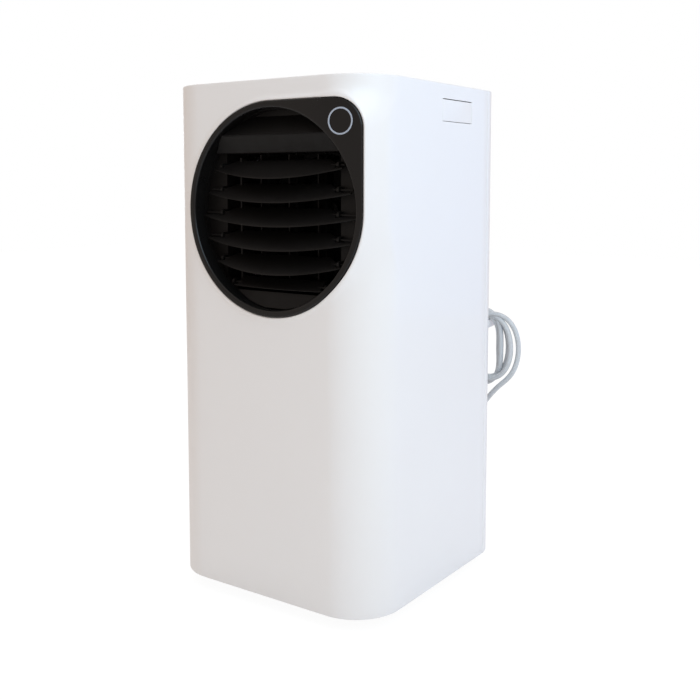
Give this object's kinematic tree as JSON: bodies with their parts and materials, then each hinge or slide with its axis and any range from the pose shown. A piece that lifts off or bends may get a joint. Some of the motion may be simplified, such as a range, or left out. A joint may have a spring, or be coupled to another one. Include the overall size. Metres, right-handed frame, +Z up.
{
  "type": "portable air conditioner",
  "caption": "Free-standing portable air conditioner with a round louvred outlet, rear grilles, hose collar, castors and a wound mains cord.",
  "frame": {"origin": "on the floor, under the middle of the machine's box without its cord", "axes": "+Z up, +Y towards the back, the louvred outlet faces -Y, +X to the right of someone looking at the front"},
  "size_m": [0.3622, 0.4259, 0.703],
  "materials": {
    "white_casing": "fine satin moulded ABS, warm white",
    "gloss_black": "polished black moulding",
    "dark_plastic": "satin black moulding",
    "ring_light": "pale translucent ring",
    "grey_plastic": "satin grey moulding",
    "inner_plastic": "unpainted inner moulding",
    "bare_steel": "zinc-plated steel",
    "black_paint": "black enamel",
    "fin_aluminium": "thin pressed fins",
    "copper": "drawn copper tube",
    "castor_rubber": "hard rubber tread",
    "grey_cord": "smooth light grey PVC sheath"
  },
  "bodies": {
    "casing": {"front_shell": "white_casing", "rear_shell": "white_casing", "top_cover": "white_casing", "base_pan": "inner_plastic", "middle_tray": "inner_plastic", "control_panel": "gloss_black", "outlet_bezel": "gloss_black", "ring_light": "ring_light", "duct_frame": "dark_plastic", "swing_motor": "bare_steel", "lower_grille": "white_casing", "exhaust_collar": "white_casing", "evaporator_housing": "dark_plastic", "evaporator_motor": "bare_steel", "evaporator_coil": "fin_aluminium", "condenser_housing": "inner_plastic", "condenser_motor": "bare_steel", "condenser_coil": "fin_aluminium", "compressor": "black_paint", "discharge_pipe": "copper", "suction_pipe": "copper", "control_box": "inner_plastic", "cord_gland": "grey_plastic", "cord_hook": "white_casing", "cord_lead": "grey_cord", "cord_coil": "grey_cord", "cord_tail": "grey_cord", "plug": "grey_plastic", "handle_pocket_left": "inner_plastic", "handle_pocket_right": "inner_plastic"},
    "louvre_blade_1": {"louvre_blade_1": "dark_plastic"},
    "louvre_blade_2": {"louvre_blade_2": "dark_plastic"},
    "louvre_blade_3": {"louvre_blade_3": "dark_plastic"},
    "louvre_blade_4": {"louvre_blade_4": "dark_plastic"},
    "louvre_blade_5": {"louvre_blade_5": "dark_plastic"},
    "louvre_blade_6": {"louvre_blade_6": "dark_plastic"},
    "louvre_link": {"louvre_link": "dark_plastic"},
    "duct_vane_1": {"duct_vane_1": "dark_plastic"},
    "duct_vane_2": {"duct_vane_2": "dark_plastic"},
    "duct_vane_3": {"duct_vane_3": "dark_plastic"},
    "button_power": {"button_power": "grey_plastic"},
    "button_mode": {"button_mode": "grey_plastic"},
    "button_fan": {"button_fan": "grey_plastic"},
    "button_down": {"button_down": "grey_plastic"},
    "button_up": {"button_up": "grey_plastic"},
    "handle_flap_left": {"handle_flap_left": "white_casing"},
    "handle_flap_right": {"handle_flap_right": "white_casing"},
    "filter_door": {"filter_door": "white_casing"},
    "drain_plug_middle": {"drain_plug_middle": "grey_plastic"},
    "drain_plug_lower": {"drain_plug_lower": "grey_plastic"},
    "castor_fork_front_left": {"castor_fork_front_left": "bare_steel"},
    "castor_wheel_front_left": {"castor_wheel_front_left": "castor_rubber"},
    "castor_fork_front_right": {"castor_fork_front_right": "bare_steel"},
    "castor_wheel_front_right": {"castor_wheel_front_right": "castor_rubber"},
    "castor_fork_rear_left": {"castor_fork_rear_left": "bare_steel"},
    "castor_wheel_rear_left": {"castor_wheel_rear_left": "castor_rubber"},
    "castor_fork_rear_right": {"castor_fork_rear_right": "bare_steel"},
    "castor_wheel_rear_right": {"castor_wheel_rear_right": "castor_rubber"},
    "evaporator_fan": {"evaporator_fan": "dark_plastic"},
    "condenser_fan": {"condenser_fan": "inner_plastic"}
  },
  "joints": [
    {"name": "blade_1_tilt", "type": "hinge", "parent": "casing", "child": "louvre_blade_1", "pos_m": [0.018, -0.178, 0.593], "axis": [1, 0, 0], "range_deg": [-28, 20]},
    {"name": "blade_2_tilt", "type": "hinge", "parent": "casing", "child": "louvre_blade_2", "pos_m": [0.018, -0.178, 0.562], "axis": [1, 0, 0], "range_deg": [-28, 20]},
    {"name": "blade_3_tilt", "type": "hinge", "parent": "casing", "child": "louvre_blade_3", "pos_m": [0.018, -0.178, 0.531], "axis": [1, 0, 0], "range_deg": [-28, 20]},
    {"name": "blade_4_tilt", "type": "hinge", "parent": "casing", "child": "louvre_blade_4", "pos_m": [0.018, -0.178, 0.5], "axis": [1, 0, 0], "range_deg": [-28, 20]},
    {"name": "blade_5_tilt", "type": "hinge", "parent": "casing", "child": "louvre_blade_5", "pos_m": [0.018, -0.178, 0.469], "axis": [1, 0, 0], "range_deg": [-28, 20]},
    {"name": "blade_6_tilt", "type": "hinge", "parent": "casing", "child": "louvre_blade_6", "pos_m": [0.018, -0.178, 0.438], "axis": [1, 0, 0], "range_deg": [-28, 20]},
    {"name": "link_pivot", "type": "hinge", "parent": "louvre_blade_3", "child": "louvre_link", "pos_m": [-0.052, -0.17012, 0.53716], "axis": [1, 0, 0], "range_deg": [-20, 28]},
    {"name": "vane_1_turn", "type": "hinge", "parent": "casing", "child": "duct_vane_1", "pos_m": [-0.03, -0.141, 0.518], "axis": [0, 0, 1], "range_deg": [-35, 35]},
    {"name": "vane_2_turn", "type": "hinge", "parent": "casing", "child": "duct_vane_2", "pos_m": [0.018, -0.141, 0.518], "axis": [0, 0, 1], "range_deg": [-35, 35]},
    {"name": "vane_3_turn", "type": "hinge", "parent": "casing", "child": "duct_vane_3", "pos_m": [0.066, -0.141, 0.518], "axis": [0, 0, 1], "range_deg": [-35, 35]},
    {"name": "power_press", "type": "slide", "parent": "casing", "child": "button_power", "axis": [0, 0, -1], "range_m": [0, 0.001], "stiffness_N_per_m": 400, "springref_m": -0.0005},
    {"name": "mode_press", "type": "slide", "parent": "casing", "child": "button_mode", "axis": [0, 0, -1], "range_m": [0, 0.001], "stiffness_N_per_m": 400, "springref_m": -0.0005},
    {"name": "fan_press", "type": "slide", "parent": "casing", "child": "button_fan", "axis": [0, 0, -1], "range_m": [0, 0.001], "stiffness_N_per_m": 400, "springref_m": -0.0005},
    {"name": "down_press", "type": "slide", "parent": "casing", "child": "button_down", "axis": [0, 0, -1], "range_m": [0, 0.001], "stiffness_N_per_m": 400, "springref_m": -0.0005},
    {"name": "up_press", "type": "slide", "parent": "casing", "child": "button_up", "axis": [0, 0, -1], "range_m": [0, 0.001], "stiffness_N_per_m": 400, "springref_m": -0.0005},
    {"name": "flap_left_push", "type": "hinge", "parent": "casing", "child": "handle_flap_left", "pos_m": [-0.17215, 0.016, 0.6809], "axis": [0, -1, 0], "range_deg": [0, 60], "stiffness_Nm_per_rad": 0.02, "springref_deg": -11.46},
    {"name": "flap_right_push", "type": "hinge", "parent": "casing", "child": "handle_flap_right", "pos_m": [0.17215, 0.016, 0.6809], "axis": [0, 1, 0], "range_deg": [0, 60], "stiffness_Nm_per_rad": 0.02, "springref_deg": -11.46},
    {"name": "filter_door_swing", "type": "hinge", "parent": "casing", "child": "filter_door", "pos_m": [0, 0.1492, 0.4348], "axis": [-1, 0, 0], "range_deg": [0, 60]},
    {"name": "drain_plug_middle_pull", "type": "slide", "parent": "casing", "child": "drain_plug_middle", "axis": [0, 1, 0], "range_m": [0, 0.015]},
    {"name": "drain_plug_lower_pull", "type": "slide", "parent": "casing", "child": "drain_plug_lower", "axis": [0, 1, 0], "range_m": [0, 0.015]},
    {"name": "castor_front_left_swivel", "type": "hinge", "parent": "casing", "child": "castor_fork_front_left", "pos_m": [-0.112, -0.135, 0.05], "axis": [0, 0, 1], "continuous": true},
    {"name": "castor_front_left_roll", "type": "hinge", "parent": "castor_fork_front_left", "child": "castor_wheel_front_left", "pos_m": [-0.112, -0.123, 0.015], "axis": [1, 0, 0], "continuous": true},
    {"name": "castor_front_right_swivel", "type": "hinge", "parent": "casing", "child": "castor_fork_front_right", "pos_m": [0.112, -0.135, 0.05], "axis": [0, 0, 1], "continuous": true},
    {"name": "castor_front_right_roll", "type": "hinge", "parent": "castor_fork_front_right", "child": "castor_wheel_front_right", "pos_m": [0.112, -0.123, 0.015], "axis": [1, 0, 0], "continuous": true},
    {"name": "castor_rear_left_swivel", "type": "hinge", "parent": "casing", "child": "castor_fork_rear_left", "pos_m": [-0.112, 0.089, 0.05], "axis": [0, 0, 1], "continuous": true},
    {"name": "castor_rear_left_roll", "type": "hinge", "parent": "castor_fork_rear_left", "child": "castor_wheel_rear_left", "pos_m": [-0.112, 0.101, 0.015], "axis": [1, 0, 0], "continuous": true},
    {"name": "castor_rear_right_swivel", "type": "hinge", "parent": "casing", "child": "castor_fork_rear_right", "pos_m": [0.112, 0.089, 0.05], "axis": [0, 0, 1], "continuous": true},
    {"name": "castor_rear_right_roll", "type": "hinge", "parent": "castor_fork_rear_right", "child": "castor_wheel_rear_right", "pos_m": [0.112, 0.101, 0.015], "axis": [1, 0, 0], "continuous": true},
    {"name": "evaporator_fan_spin", "type": "hinge", "parent": "casing", "child": "evaporator_fan", "pos_m": [0.018, -0.023, 0.53], "axis": [0, 1, 0], "continuous": true},
    {"name": "condenser_fan_spin", "type": "hinge", "parent": "casing", "child": "condenser_fan", "pos_m": [0.048, -0.023, 0.168], "axis": [0, 1, 0], "continuous": true}
  ],
  "couplings": [
    {"joint": "blade_2_tilt", "follows": "blade_1_tilt", "ratio": 1},
    {"joint": "blade_3_tilt", "follows": "blade_1_tilt", "ratio": 1},
    {"joint": "blade_4_tilt", "follows": "blade_1_tilt", "ratio": 1},
    {"joint": "blade_5_tilt", "follows": "blade_1_tilt", "ratio": 1},
    {"joint": "blade_6_tilt", "follows": "blade_1_tilt", "ratio": 1},
    {"joint": "link_pivot", "follows": "blade_1_tilt", "ratio": -1},
    {"joint": "vane_2_turn", "follows": "vane_1_turn", "ratio": 1},
    {"joint": "vane_3_turn", "follows": "vane_1_turn", "ratio": 1}
  ]
}
